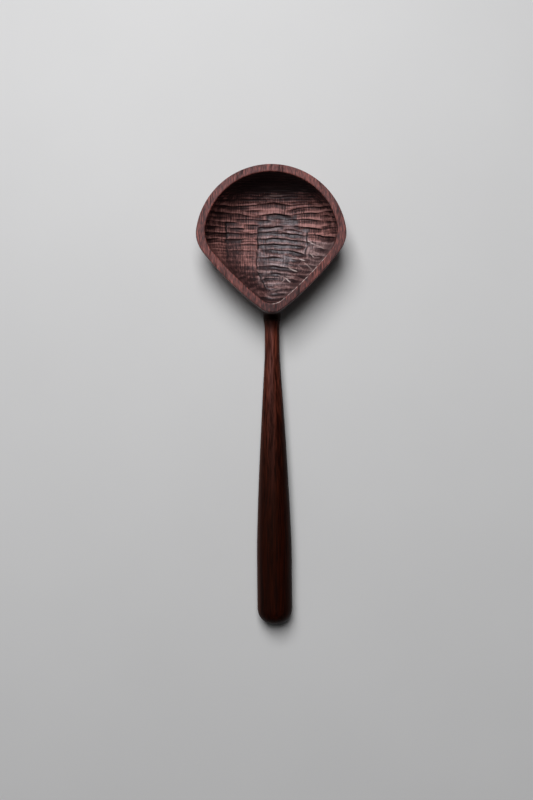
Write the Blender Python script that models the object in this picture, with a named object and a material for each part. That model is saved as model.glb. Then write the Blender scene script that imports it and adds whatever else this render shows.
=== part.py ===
"""A carved wooden serving spoon: a deep bowl, round at its far end and blunt-pointed at the neck, and a
turned handle that is glued into the bowl by a round tenon. The bowl stands on its flat foot at the origin, and
the handle runs level along -Y, so that its grip lies on the table too."""

import math

import bpy

# Plan of the bowl's outer edge: four tangent arcs on each side, measured from the centre of the wide far arc.
FAR_RADIUS = 0.0409
SIDE_RADIUS = 0.0155
FLANK_RADIUS = 0.173
TIP_RADIUS = 0.0095
TIP_REACH = 0.0390
SIDE_BEARING = math.radians(81)

# Plan of the hollow's edge: the same kind of arcs, set in from the outer edge by the width of the rim.
RIM_WIDTH_FAR = 0.0041
RIM_WIDTH_SIDE = 0.0046
RIM_WIDTH_TIP = 0.0048
HOLLOW_SIDE_RADIUS = 0.0180
HOLLOW_FLANK_RADIUS = 0.205
HOLLOW_TIP_RADIUS = 0.0087
HOLLOW_SIDE_BEARING = math.radians(75)

# Heights of the bowl, and how square its wall turns into its floor. The tip is squarer, to carry the neck.
RIM_HEIGHT = 0.0295
FLOOR_THICKNESS = 0.0045
FOOT_CUT = 0.001
HOLLOW_SQUARENESS = 2.9
WALL_SQUARENESS_FAR = 2.9
WALL_SQUARENESS_TIP = 5.0
EDGE_BREAK = 0.0005

# Gouge cuts across the hollow. In plan each one bows towards the middle of the hollow.
CUT_DEPTH = 0.0004
CUT_BEND = 0.0028
CUTS = 28

# Handle, measured along its own axis from below the tip of the rim.
NECK_RADIUS = 0.0041
GRIP_RADIUS = 0.0097
HANDLE_REACH = 0.1715
TAPER_START = 0.0225
TAPER_LENGTH = 0.1085
TAPER_EASE = 1.3
TAPER_SOFTNESS = 0.04
GRIP_END_SQUARENESS = 2.35
FLARE_RADIUS = 0.0011
FLARE_LENGTH = 0.009

# Joint between bowl and handle. The seam lies just outside the tip, the neck's root and the socket inside.
SEAM_OFFSET = 0.0028
TENON_SHOULDER = 0.0016
GLUE_GAP = 0.0003
ROOT_COVER = 0.0008
ROOT_HEEL = 0.0015
SOCKET_COVER = 0.0005
SOCKET_OVERCUT = 0.004

# Fineness of the meshes.
FACETS_PER_CUT = 3
HOLLOW_COLUMNS = 20
WALL_RINGS = 9
TURNED_SIDES = 28
FLARE_STEPS = 5
NECK_STEPS = 3
TAPER_STEPS = 14
GRIP_STEPS = 3
END_STEPS = 9
SHARP_ANGLE = math.radians(35)

BOWL_COLOUR = (0.105, 0.048, 0.036, 1.0)
BOWL_ROUGHNESS = 0.5
HANDLE_COLOUR = (0.040, 0.014, 0.009, 1.0)
HANDLE_ROUGHNESS = 0.38


def clear_scene():
    for item in list(bpy.data.objects):
        bpy.data.objects.remove(item)


def wood(name, colour, roughness):
    material = bpy.data.materials.new(name)
    material.use_nodes = True
    shader = material.node_tree.nodes["Principled BSDF"]
    shader.inputs["Base Color"].default_value = colour
    shader.inputs["Roughness"].default_value = roughness
    shader.inputs["Metallic"].default_value = 0.0
    return material


def mesh_object(name, vertices, faces, material):
    mesh = bpy.data.meshes.new(name)
    mesh.from_pydata(vertices, [], faces)
    mesh.materials.append(material)
    mesh.shade_smooth()
    mesh.set_sharp_from_angle(angle=SHARP_ANGLE)
    item = bpy.data.objects.new(name, mesh)
    bpy.context.scene.collection.objects.link(item)
    return item


def tangent_outline(far_radius, side_bearing, side_radius, flank_radius, tip_radius, tip_reach):
    """Right half of a plan outline as tangent arcs, far end first: (last bearing, centre, radius).

    A bearing runs from +Y at the far end, through +X, to -Y at the tip."""
    side_centre = (
        (far_radius - side_radius) * math.sin(side_bearing),
        (far_radius - side_radius) * math.cos(side_bearing),
    )
    tip_centre = (0.0, tip_radius - tip_reach)
    # The flank's centre lies where its arc can touch both the side arc and the tip arc from inside.
    to_side = flank_radius - side_radius
    to_tip = flank_radius - tip_radius
    apart = math.dist(side_centre, tip_centre)
    along = (to_side**2 - to_tip**2 + apart**2) / (2 * apart)
    across = math.sqrt(to_side**2 - along**2)
    unit = ((tip_centre[0] - side_centre[0]) / apart, (tip_centre[1] - side_centre[1]) / apart)
    flank_centre = (
        side_centre[0] + along * unit[0] + across * unit[1],
        side_centre[1] + along * unit[1] - across * unit[0],
    )

    def last_bearing(centre, radius):
        away = math.dist(centre, flank_centre)
        x = centre[0] + radius * (centre[0] - flank_centre[0]) / away
        y = centre[1] + radius * (centre[1] - flank_centre[1]) / away
        return math.atan2(x, y)

    return [
        (side_bearing, (0.0, 0.0), far_radius),
        (last_bearing(side_centre, side_radius), side_centre, side_radius),
        (last_bearing(tip_centre, tip_radius), flank_centre, flank_radius),
        (math.pi, tip_centre, tip_radius),
    ]


def reach(outline, bearing):
    """Distance from the outline's centre to its edge."""
    folded = abs(math.remainder(bearing, 2 * math.pi))
    x, y = math.sin(folded), math.cos(folded)
    for last, centre, radius in outline:
        if folded <= last:
            break
    along = x * centre[0] + y * centre[1]
    return along + math.sqrt(along**2 - centre[0] ** 2 - centre[1] ** 2 + radius**2)


OUTER = tangent_outline(FAR_RADIUS, SIDE_BEARING, SIDE_RADIUS, FLANK_RADIUS, TIP_RADIUS, TIP_REACH)
# The hollow's centre sits further out than the rim's, because the rim is thinner at the far end.
HOLLOW_SHIFT = RIM_WIDTH_SIDE - RIM_WIDTH_FAR
HOLLOW = tangent_outline(
    FAR_RADIUS - RIM_WIDTH_SIDE,
    HOLLOW_SIDE_BEARING,
    HOLLOW_SIDE_RADIUS,
    HOLLOW_FLANK_RADIUS,
    HOLLOW_TIP_RADIUS,
    TIP_REACH - RIM_WIDTH_TIP + HOLLOW_SHIFT,
)


# Distances along the handle's axis count from below the tip of the rim, so those inside are negative.
SOCKET_END = SOCKET_COVER - RIM_WIDTH_TIP
TENON_END = SOCKET_END + GLUE_GAP
TENON_RADIUS = NECK_RADIUS - TENON_SHOULDER


def hollow_height(x, y):
    """Height of the smooth hollow above the table, before the gouge cuts."""
    y -= HOLLOW_SHIFT
    share = min(1.0, math.hypot(x, y) / reach(HOLLOW, math.atan2(x, y)))
    depth = RIM_HEIGHT - FLOOR_THICKNESS
    return RIM_HEIGHT - depth * (1 - share**HOLLOW_SQUARENESS) ** (1 / HOLLOW_SQUARENESS)


def outline_ring(outline, bearings, shift, grow, height):
    ring = []
    for bearing in bearings:
        radius = reach(outline, bearing) + grow
        ring.append((radius * math.sin(bearing), radius * math.cos(bearing) + shift, height))
    return ring


def wall_share(bearing, height):
    """How much of the rim's reach the outer wall still has at a height above the table."""
    to_tip = (0.5 - 0.5 * math.cos(bearing)) ** 2
    squareness = WALL_SQUARENESS_FAR + (WALL_SQUARENESS_TIP - WALL_SQUARENESS_FAR) * to_tip
    drop = (RIM_HEIGHT - height) / (RIM_HEIGHT + FOOT_CUT)
    return (1 - drop**squareness) ** (1 / squareness)


def wall_rings(bearings):
    """Rings of the outer wall, from under the rim's edge to the foot, closer where the wall turns under."""
    rings = []
    for step in range(WALL_RINGS + 1):
        height = (RIM_HEIGHT - EDGE_BREAK) * (1 - math.sin(math.pi / 2 * step / WALL_RINGS))
        ring = []
        for bearing in bearings:
            radius = reach(OUTER, bearing) * wall_share(bearing, height)
            ring.append((radius * math.sin(bearing), radius * math.cos(bearing), height))
        rings.append(ring)
    return rings


def hollow_rows(rows):
    """Rows of points across the hollow, far end first. Each gouge cut is a trough of a few rows."""
    grid = []
    for row in range(1, rows):
        bearing = math.pi * row / rows
        half = reach(HOLLOW, bearing) * math.sin(bearing)
        middle = reach(HOLLOW, bearing) * math.cos(bearing) + HOLLOW_SHIFT
        bend = -CUT_BEND * math.sin(2 * bearing) * math.sin(bearing)
        in_trough = row % FACETS_PER_CUT != 0
        points = []
        for column in range(1, HOLLOW_COLUMNS):
            angle = math.pi * (column / HOLLOW_COLUMNS - 0.5)
            x = half * math.sin(angle)
            y = middle + bend * math.cos(angle) ** 2
            cut = CUT_DEPTH * math.cos(angle) if in_trough else 0.0
            points.append((x, y, hollow_height(x, y) - cut))
        grid.append(points)
    return grid


def ring_faces(first, second, count):
    """Quads between two rings of points that start at these indices."""
    return [
        (first + i, first + (i + 1) % count, second + (i + 1) % count, second + i) for i in range(count)
    ]


def bowl_mesh():
    """The carved head as one closed surface: foot, wall, rim and hollow."""
    rows = CUTS * FACETS_PER_CUT
    count = 2 * rows
    # The rim's points run from the far end down the right side to the tip, and back up the left side.
    right = [math.pi * i / rows for i in range(rows + 1)]
    left = [-bearing for bearing in right[-2:0:-1]]
    bearings = right + left
    rings = wall_rings(bearings)[::-1]
    rings.append(outline_ring(OUTER, bearings, 0.0, -EDGE_BREAK, RIM_HEIGHT))
    rings.append(outline_ring(HOLLOW, bearings, HOLLOW_SHIFT, EDGE_BREAK, RIM_HEIGHT))
    rings.append(outline_ring(HOLLOW, bearings, HOLLOW_SHIFT, 0.0, RIM_HEIGHT - EDGE_BREAK))

    vertices = [point for ring in rings for point in ring]
    faces = []
    for i in range(len(rings) - 1):
        faces += ring_faces((i + 1) * count, i * count, count)
    foot = len(vertices)
    vertices.append((0.0, 0.0, 0.0))
    faces += [(foot, i, (i + 1) % count) for i in range(count)]

    edge = (len(rings) - 1) * count
    start = len(vertices)
    for points in hollow_rows(rows):
        vertices += points
    across = HOLLOW_COLUMNS - 1

    def row_indices(row):
        """Indices of one row from the left edge of the hollow to its right edge."""
        inner = [start + (row - 1) * across + i for i in range(across)]
        return [edge + count - row] + inner + [edge + row]

    for row in range(1, rows - 1):
        far, near = row_indices(row), row_indices(row + 1)
        for i in range(HOLLOW_COLUMNS):
            faces.append((far[i], near[i], near[i + 1], far[i + 1]))
    first, last = row_indices(1), row_indices(rows - 1)
    for i in range(HOLLOW_COLUMNS):
        faces.append((edge, first[i], first[i + 1]))
        faces.append((edge + rows, last[i + 1], last[i]))
    return vertices, faces


def shaft_radius(distance):
    """Radius of neck, taper and grip at a distance past the tip of the rim."""
    along = (distance - TAPER_START) / TAPER_LENGTH
    soft = 0.5 * (along + math.hypot(along, TAPER_SOFTNESS))
    swell = 1 - (1 - min(soft, 1.0)) ** TAPER_EASE
    radius = NECK_RADIUS + (GRIP_RADIUS - NECK_RADIUS) * swell
    if distance < FLARE_LENGTH:
        radius += FLARE_RADIUS * (1 - distance / FLARE_LENGTH) ** 2
    to_end = HANDLE_REACH - distance
    if to_end < GRIP_RADIUS:
        share = 1 - max(0.0, to_end) / GRIP_RADIUS
        radius *= (1 - share**GRIP_END_SQUARENESS) ** (1 / GRIP_END_SQUARENESS)
    return radius


def turned_mesh(profile):
    """A solid turned about its own Y axis, from (distance along -Y, radius) pairs, closed on the axis."""
    vertices = [(0.0, -profile[0][0], 0.0)]
    for distance, radius in profile[1:-1]:
        for side in range(TURNED_SIDES):
            angle = 2 * math.pi * side / TURNED_SIDES
            vertices.append((radius * math.sin(angle), -distance, -radius * math.cos(angle)))
    vertices.append((0.0, -profile[-1][0], 0.0))
    last = len(vertices) - 1
    faces = []
    rings = len(profile) - 2
    for ring in range(rings - 1):
        faces += ring_faces(1 + ring * TURNED_SIDES, 1 + (ring + 1) * TURNED_SIDES, TURNED_SIDES)
    for side in range(TURNED_SIDES):
        after = (side + 1) % TURNED_SIDES
        faces.append((0, 1 + after, 1 + side))
        faces.append((last, last - TURNED_SIDES + side, last - TURNED_SIDES + after))
    return vertices, faces


def spaced(start, end, steps):
    return [start + (end - start) * i / steps for i in range(steps + 1)]


def handle_profile():
    """Tenon, shoulder, neck, taper, grip and rounded end, measured from the seam."""
    grip_end = HANDLE_REACH - GRIP_RADIUS
    shoulder = SEAM_OFFSET + GLUE_GAP
    stations = spaced(shoulder, FLARE_LENGTH, FLARE_STEPS)
    stations += spaced(FLARE_LENGTH, TAPER_START, NECK_STEPS)[1:]
    stations += spaced(TAPER_START, TAPER_START + TAPER_LENGTH, TAPER_STEPS)[1:]
    stations += spaced(TAPER_START + TAPER_LENGTH, grip_end, GRIP_STEPS)[1:]
    end_turns = spaced(0.0, math.pi / 2, END_STEPS)[1:-1]
    stations += [grip_end + GRIP_RADIUS * math.sin(turn) for turn in end_turns]
    profile = [(TENON_END, 0.0), (TENON_END, TENON_RADIUS), (shoulder, TENON_RADIUS)]
    profile += [(distance, shaft_radius(distance)) for distance in stations]
    profile.append((HANDLE_REACH, 0.0))
    return profile


def root_profile():
    """The flared root of the neck, which is part of the bowl, from inside its wall to the seam."""
    end = ROOT_COVER - RIM_WIDTH_TIP
    profile = [(end, 0.0), (end, NECK_RADIUS)]
    stations = spaced(end + ROOT_HEEL, SEAM_OFFSET, FLARE_STEPS)
    profile += [(distance, shaft_radius(distance)) for distance in stations]
    profile.append((SEAM_OFFSET, 0.0))
    return profile


def socket_profile():
    """The blind hole for the tenon, cut from beyond the seam."""
    mouth = SEAM_OFFSET + SOCKET_OVERCUT
    radius = TENON_RADIUS + GLUE_GAP
    return [(SOCKET_END, 0.0), (SOCKET_END, radius), (mouth, radius), (mouth, 0.0)]


def place_on_axis(item):
    """Puts a turned piece on the handle's axis, which is level and as high as the grip is thick."""
    item.location = (0.0, -TIP_REACH, GRIP_RADIUS)


def add_cut(item, helper, operation):
    helper.hide_render = True
    helper.display_type = "WIRE"
    place_on_axis(helper)
    change = item.modifiers.new(helper.name, "BOOLEAN")
    change.object = helper
    change.operation = operation
    change.solver = "EXACT"


def make_bowl():
    material = wood("bowl_wood", BOWL_COLOUR, BOWL_ROUGHNESS)
    bowl = mesh_object("bowl", *bowl_mesh(), material)
    root = mesh_object("neck_root", *turned_mesh(root_profile()), material)
    add_cut(bowl, root, "UNION")
    socket = mesh_object("tenon_socket", *turned_mesh(socket_profile()), material)
    add_cut(bowl, socket, "DIFFERENCE")


def make_handle():
    material = wood("handle_wood", HANDLE_COLOUR, HANDLE_ROUGHNESS)
    handle = mesh_object("handle", *turned_mesh(handle_profile()), material)
    place_on_axis(handle)


clear_scene()
make_bowl()
make_handle()
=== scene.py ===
import functools
import math

import bpy
import numpy as np
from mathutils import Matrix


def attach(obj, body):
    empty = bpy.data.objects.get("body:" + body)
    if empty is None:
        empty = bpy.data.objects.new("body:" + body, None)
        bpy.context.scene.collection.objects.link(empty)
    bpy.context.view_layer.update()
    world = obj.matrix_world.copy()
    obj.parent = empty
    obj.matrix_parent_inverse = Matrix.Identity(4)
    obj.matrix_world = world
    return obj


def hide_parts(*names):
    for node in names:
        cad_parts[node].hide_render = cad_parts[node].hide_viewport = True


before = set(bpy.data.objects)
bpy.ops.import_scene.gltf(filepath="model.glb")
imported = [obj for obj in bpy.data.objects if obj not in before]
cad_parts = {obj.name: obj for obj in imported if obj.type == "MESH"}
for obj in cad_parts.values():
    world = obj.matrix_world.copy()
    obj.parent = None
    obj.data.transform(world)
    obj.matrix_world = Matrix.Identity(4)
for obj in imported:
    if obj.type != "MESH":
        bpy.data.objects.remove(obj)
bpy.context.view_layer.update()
scene = bpy.context.scene

# The spoon's own sizes, in metres, the same as in the CAD source.
FAR_RADIUS = 0.0409
SIDE_RADIUS = 0.0155
FLANK_RADIUS = 0.173
TIP_RADIUS = 0.0095
TIP_REACH = 0.039
SIDE_BEARING = math.radians(81)
RIM_WIDTH_FAR = 0.0041
RIM_WIDTH_SIDE = 0.0046
RIM_WIDTH_TIP = 0.0048
HOLLOW_SIDE_RADIUS = 0.018
HOLLOW_FLANK_RADIUS = 0.205
HOLLOW_TIP_RADIUS = 0.0087
HOLLOW_SIDE_BEARING = math.radians(75)
RIM_HEIGHT = 0.0295
FLOOR_THICKNESS = 0.0045
FOOT_CUT = 0.001
HOLLOW_SQUARENESS = 2.9
WALL_SQUARENESS_FAR = 2.9
WALL_SQUARENESS_TIP = 5.0
NECK_RADIUS = 0.0041
GRIP_RADIUS = 0.0097
HANDLE_REACH = 0.1715
TAPER_START = 0.0225
TAPER_LENGTH = 0.1085
TAPER_EASE = 1.3
TAPER_SOFTNESS = 0.04
GRIP_END_SQUARENESS = 2.35
FLARE_RADIUS = 0.0011
FLARE_LENGTH = 0.009
SEAM_OFFSET = 0.0028
TENON_RADIUS = 0.0025
TENON_END = -0.004
AXIS_HEIGHT = GRIP_RADIUS

MM = 0.001
# What the fine surface adds: rounded edges of the rim, held by rings close to them.
INNER_ROUND = 0.45 * MM
INNER_EASE = 0.6 * MM
OUTER_ROUND = 0.45 * MM
RIM_FALL = 0.12 * MM
EDGE_SUPPORT = 0.15 * MM
# The rounded inner edge has a painted highlight on the right of the tip. It sets in and stops at these bearings,
# over these angles. It lies on these steps of the rounding, and comes in waves: (share, waves per radian, phase).
EDGE_GLINT = 0.66
GLINT_STARTS = (math.radians(92), 0.5)
GLINT_STOPS = (math.radians(186), -0.12)
GLINT_STEPS = (2, 3, 4)
GLINT_MEAN = 0.62
GLINT_WAVES = ((0.3, 23, 1.0), (0.3, 71, 0.0))
GLINT_LIMITS = (0.1, 1.0)
# A tighter glue line, and a fillet round the neck's root. It leaves the wall towards a point this share as far from
# the axis, and has the handle's colour from this share of its length on.
GLUE_LINE = 0.06 * MM
FILLET_RADIUS = 6.9 * MM
FILLET_PULL = 0.5
FILLET_AIM = 0.96
ROOT_BLEND = 0.3
SEAM_SUPPORT = 0.02 * MM
OPENING_MARGIN = 1.2 * MM
FOOT_SHARES = (0.96, 0.6, 0.25)
# The handle is a little uneven, as hand finishing leaves it: how much, over which lengths this sets in at its two
# ends, its bend (radians per millimetre, phase, side) and its oval (share, radians per millimetre).
UNEVENNESS = 0.03 * MM
UNEVEN_ENDS = (6 * MM, 8 * MM)
HANDLE_BEND = (0.11, 0.4, 0.6)
HANDLE_OVAL = (0.7, 0.05)
TENON_CHAMFER = 0.2 * MM

# Camera: its lens, its place above the table, and its roll.
CAMERA_LENS = 50.0
CAMERA_SENSOR = 36.0
CAMERA_PLACE = (-0.00346, -0.08625, 0.6275)
CAMERA_ROLL = math.radians(-0.6)
CAMERA_CLIP = 0.01

# Fineness of the meshes.
HOLLOW_ROWS = 370
HOLLOW_COLUMNS = 212
WALL_COARSENESS = 0.45
ROUND_STEPS = 5
OUTER_COLUMNS = 260
OUTER_RINGS = 34
PATCH_RINGS = 4
FILLET_RINGS = 12
HANDLE_SIDES = 72
HANDLE_RINGS = 230
GRIP_END_RINGS = 20
TABLE_SAMPLES = 4001
SOLVER_ROUNDS = 12
TINY = 1e-12


def linked(name, data):
    made = bpy.data.objects.new(name, data)
    scene.collection.objects.link(made)
    return made


def mesh_object(name, vertices, faces, material, attributes=None):
    mesh = bpy.data.meshes.new(name)
    mesh.from_pydata(np.asarray(vertices, float).tolist(), [], faces)
    mesh.materials.append(material)
    mesh.shade_smooth()
    for key, values in (attributes or {}).items():
        layer = mesh.attributes.new(key, "FLOAT", "POINT")
        layer.data.foreach_set("value", np.asarray(values, np.float32))
    return linked(name, mesh)


def tangent_outline(far_radius, side_bearing, side_radius, flank_radius, tip_radius, tip_reach):
    """Right half of a plan outline as tangent arcs, far end first: (last bearing, centre, radius) of each."""
    side_x = (far_radius - side_radius) * math.sin(side_bearing)
    side_y = (far_radius - side_radius) * math.cos(side_bearing)
    tip_y = tip_radius - tip_reach
    to_side = flank_radius - side_radius
    to_tip = flank_radius - tip_radius
    apart = math.hypot(side_x, tip_y - side_y)
    along = (to_side**2 - to_tip**2 + apart**2) / (2 * apart)
    across = math.sqrt(to_side**2 - along**2)
    ux, uy = -side_x / apart, (tip_y - side_y) / apart
    flank_x = side_x + along * ux + across * uy
    flank_y = side_y + along * uy - across * ux

    def last_bearing(x, y, radius):
        away = math.hypot(x - flank_x, y - flank_y)
        return math.atan2(x + radius * (x - flank_x) / away, y + radius * (y - flank_y) / away)

    return [
        (side_bearing, (0.0, 0.0), far_radius),
        (last_bearing(side_x, side_y, side_radius), (side_x, side_y), side_radius),
        (last_bearing(0.0, tip_y, tip_radius), (flank_x, flank_y), flank_radius),
        (math.pi, (0.0, tip_y), tip_radius),
    ]


def reach(outline, bearing):
    """Distances from the outline's centre to its edge, for an array of bearings."""
    folded = np.abs(np.remainder(np.asarray(bearing) + np.pi, 2 * np.pi) - np.pi)
    x, y = np.sin(folded), np.cos(folded)
    found = np.zeros_like(folded)
    first = -1.0
    for last, (cx, cy), radius in outline:
        along = x * cx + y * cy
        square = along**2 - cx**2 - cy**2 + radius**2
        inside = (folded > first) & ((folded <= last) | (last >= np.pi))
        found = np.where(inside, along + np.sqrt(np.maximum(square, 0.0)), found)
        first = last
    return found


OUTER = tangent_outline(FAR_RADIUS, SIDE_BEARING, SIDE_RADIUS, FLANK_RADIUS, TIP_RADIUS, TIP_REACH)
HOLLOW_SHIFT = RIM_WIDTH_SIDE - RIM_WIDTH_FAR
HOLLOW = tangent_outline(
    FAR_RADIUS - RIM_WIDTH_SIDE, HOLLOW_SIDE_BEARING, HOLLOW_SIDE_RADIUS, HOLLOW_FLANK_RADIUS, HOLLOW_TIP_RADIUS,
    TIP_REACH - RIM_WIDTH_TIP + HOLLOW_SHIFT,
)
HOLLOW_TOP = RIM_HEIGHT - INNER_ROUND
HOLLOW_DEPTH = HOLLOW_TOP - FLOOR_THICKNESS


def hollow_height(share):
    """Height of the smooth hollow where it has gone this share of the way from its centre to its edge."""
    below = (1 - np.minimum(share, 1.0) ** HOLLOW_SQUARENESS) ** (1 / HOLLOW_SQUARENESS)
    return HOLLOW_TOP - HOLLOW_DEPTH * below


def share_by_length():
    """Lengths along the hollow's surface, 0 at its centre and 1 at its edge, and the share of the reach at each.

    A step on the steep wall counts for less, so that the floor gets the finer mesh."""
    turn = np.linspace(0.0, np.pi / 2, TABLE_SAMPLES)
    share = np.sin(turn) ** (2 / HOLLOW_SQUARENESS)
    flat = np.diff(share) * (FAR_RADIUS - RIM_WIDTH_SIDE)
    steep = np.diff(hollow_height(share))
    length = np.hypot(flat, steep)
    weight = 1 - WALL_COARSENESS * np.abs(steep) / np.maximum(length, TINY)
    total = np.concatenate([[0.0], np.cumsum(length * weight)])
    return total / total[-1], share


def as_seen(points):
    """Where the camera sees points on the level of the hollow's floor, right and up, in millimetres."""
    cos, sin = math.cos(CAMERA_ROLL), math.sin(CAMERA_ROLL)
    x, y = points[..., 0] - CAMERA_PLACE[0], points[..., 1] - CAMERA_PLACE[1]
    closer = (CAMERA_PLACE[2] - FLOOR_THICKNESS) / (CAMERA_PLACE[2] - points[..., 2])
    seen = []
    for a, b in ((cos, sin), (-sin, cos)):
        origin = -a * CAMERA_PLACE[0] - b * CAMERA_PLACE[1]
        seen.append(((a * x + b * y) * closer - origin) / MM)
    return seen


# Gouge cuts, in millimetres, where the camera sees them on the level of the hollow's floor: (x and y of the left
# end, x and y of the right end, bow, depth). A positive bow puts a cut's middle nearer the far end. A cut is steep
# on its far side and eases out on its near side, so each leaves a dark line with a lit slope below it.
CUTS = [
    (-28, 34.6, 18, 35, 1.4, 0.35), (-20, 32.8, 26, 32.4, 1, 0.4), (-30, 30.6, 8, 31.2, 0.5, 0.4),
    (-6, 30.9, 30, 30, 0.6, 0.4), (-32, 28.9, 2, 29.4, 0.2, 0.45), (-8, 29, 30, 28.6, 0.5, 0.45),
    (-34, 27.1, -6, 27.7, 0, 0.45), (-14, 27.6, 10, 27.8, 0.3, 0.5), (4, 27.6, 32, 27.2, 0.2, 0.5),
    (-33.4, 25.4, -15.4, 26.1, 0, 0.5), (-20.4, 25.6, -2.4, 25.6, 0.2, 0.6),
    (-36.4, 23.4, -5.1, 23.1, -1.4, 0.85), (-19.4, 24.4, -9.4, 23.6, 0, 0.4),
    (-25.4, 21.4, -4.4, 19.6, -0.3, 0.65), (-36.4, 20.2, -2.9, 16.6, -1, 0.9),
    (-36.9, 16.9, -1.4, 14.2, -0.4, 0.9), (-36.9, 14.2, -14.4, 12.2, 0, 1), (-16.4, 11.9, -6.9, 10.9, 0.1, 0.65),
    (-37.4, 11.2, -13.4, 9.2, 0.1, 0.8), (-37.4, 7.5, -7.4, 7, -0.3, 0.95), (-37.4, 3.6, -11.4, 3.8, -0.1, 0.7),
    (-34.4, 0.6, -7.9, 0.6, 0.2, 0.35), (-32.4, -2.1, -7.9, -3.5, 0.1, 0.32), (-29.4, -5.2, -7.9, -6.2, 0, 0.26),
    (-26.4, -7.9, -7.9, -8.7, 0, 0.26), (-22.4, -10.8, -7.9, -12.1, 0, 0.28),
    (-20.4, -14.1, -6.9, -15.6, 0, 0.28), (-17.4, -17.4, -5.9, -18.6, 0, 0.28),
    (-13.4, -20.6, -4.9, -21.4, 0, 0.3), (-7.9, 23.4, 12.1, 22.1, 0.6, 1.05), (-5.1, 16.6, 12.6, 16.1, 1, 1.1),
    (4.6, 14.2, 15.6, 14.2, 0.3, 0.55), (-7.8, 10.2, 6.6, 11.1, -0.4, 0.65), (-7.8, 7, 6.1, 8.2, 0.2, 0.75),
    (7.6, 8.8, 19.6, 8, 0.1, 0.5), (3.1, 6.8, 19.6, 5.2, 0.6, 0.95), (-7.8, 3.6, 20, 1.6, 1.1, 0.85),
    (-7.8, -0.2, 18.1, -0.9, 1.3, 1.1), (-4.9, -2.4, 19.6, -5.7, 1.5, 1), (1.6, -4.5, 15.6, -7, 0.3, 0.45),
    (-7.8, -6.8, 16.6, -7.8, 0.5, 0.6), (-7.8, -8.8, 14.1, -11.1, 0.5, 0.5),
    (-7.6, -12.2, 15.2, -14.3, 1.6, 1.05), (-7, -15.9, 15.6, -16.4, 0.5, 0.55),
    (-5.4, -18.9, 16.6, -19.9, 1.1, 0.65), (-4, -21.6, 3.1, -21.8, 0.1, 0.5), (2.1, -21.4, 15.1, -21.2, 0, 0.5),
    (11.6, 26.1, 31.6, 26.9, 0, 0.5), (10.1, 23.1, 20.1, 24.6, 0, 0.6), (18.6, 23.1, 32.6, 25.4, 0, 0.75),
    (8.4, 19.6, 34.6, 22.2, 0.3, 1.05), (10.6, 17.1, 35.1, 19.6, -0.3, 1), (11.6, 14.2, 36.6, 13.1, 0.6, 1.05),
    (26.1, 16.1, 36.1, 15.8, 0.6, 0.95), (13.6, 10.7, 29.6, 9.2, -0.1, 1.1), (27.6, 10.3, 36.6, 11.1, 0, 0.75),
    (28.1, 7.7, 36.6, 8.2, 0, 0.6), (19.6, 6, 36.6, 4.2, 0.3, 1.1), (19.6, 1.6, 29.6, 2.1, 0, 0.35),
    (21.6, -0.2, 35.6, -3, -0.4, 0.4), (19.6, -4.8, 33.6, -6.7, -0.2, 0.45), (17.1, -7.4, 29.6, -9.7, 0.2, 0.4),
    (15.1, -10.7, 26.6, -11.7, 0.2, 0.5), (13.6, -13.6, 23.6, -14.2, 0.2, 0.5),
    (12.1, -16.8, 20.6, -16.6, 0.2, 0.45), (-5.4, -23.6, 11.6, -24.1, -0.3, 0.6),
    (-2.4, -26.9, 12.1, -25.6, -0.6, 0.7), (-6.4, -27.9, 10.1, -28.4, -1.2, 0.8),
    (-4.4, -30.6, 6.6, -30.9, -0.6, 0.5),
]
FAR_SIDE = 0.7
NEAR_SIDE = 3.0
NEAR_SPREAD = (0.9, 1.15)
# How much longer a cut runs than its dark line, because its ends fade out, and how late they do.
CUT_END = 1.12
CUT_END_POWER = 3.5
# A cut's line wavers by these widths over these lengths, in millimetres, and its depth by this share.
CUT_WAVER = ((0.2, 2.9), (0.12, 1.3))
CUT_UNEVENNESS = (0.2, 2.2)
PHASES = 6.3
# From which fall, in millimetres per millimetre, a step is blackened as painted shade, and over how much more.
CREASE_SLOPE = (0.25, 1.1 - 0.25)
# Knife lines that stop the cuts: (x and y of the far end, x and y of the near end, depth).
KNIFE_LINES = [
    (-24.8, 14.5, -24.6, 2, 0.68), (-24.6, 3, -24.4, -9.5, 0.25), (-17.4, 20, -17.2, -7, 0.15),
    (-7.3, 10, -7.4, -2.5, 0.35), (-8, -2, -8, -13.6, 0.45), (-8, -13.4, -5.1, -19.5, 0.4),
    (-5.2, -19, -2, -24.5, 0.45), (19.9, 8.5, 20.2, 0, 0.55), (20.2, 0.5, 18.8, -5.8, 0.5),
]
KNIFE_WIDTH = 0.6
KNIFE_WANDER = 0.25
# How much of a knife line's depth is a groove, and how much of it is blackened as painted shade.
KNIFE_GROOVE = 0.6
KNIFE_DARK = 2.0
# Over how many millimetres a line's ends fade, and how quickly it wanders, in radians per millimetre.
LINE_END = 1.2
WANDER_RATE = 0.9
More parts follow.
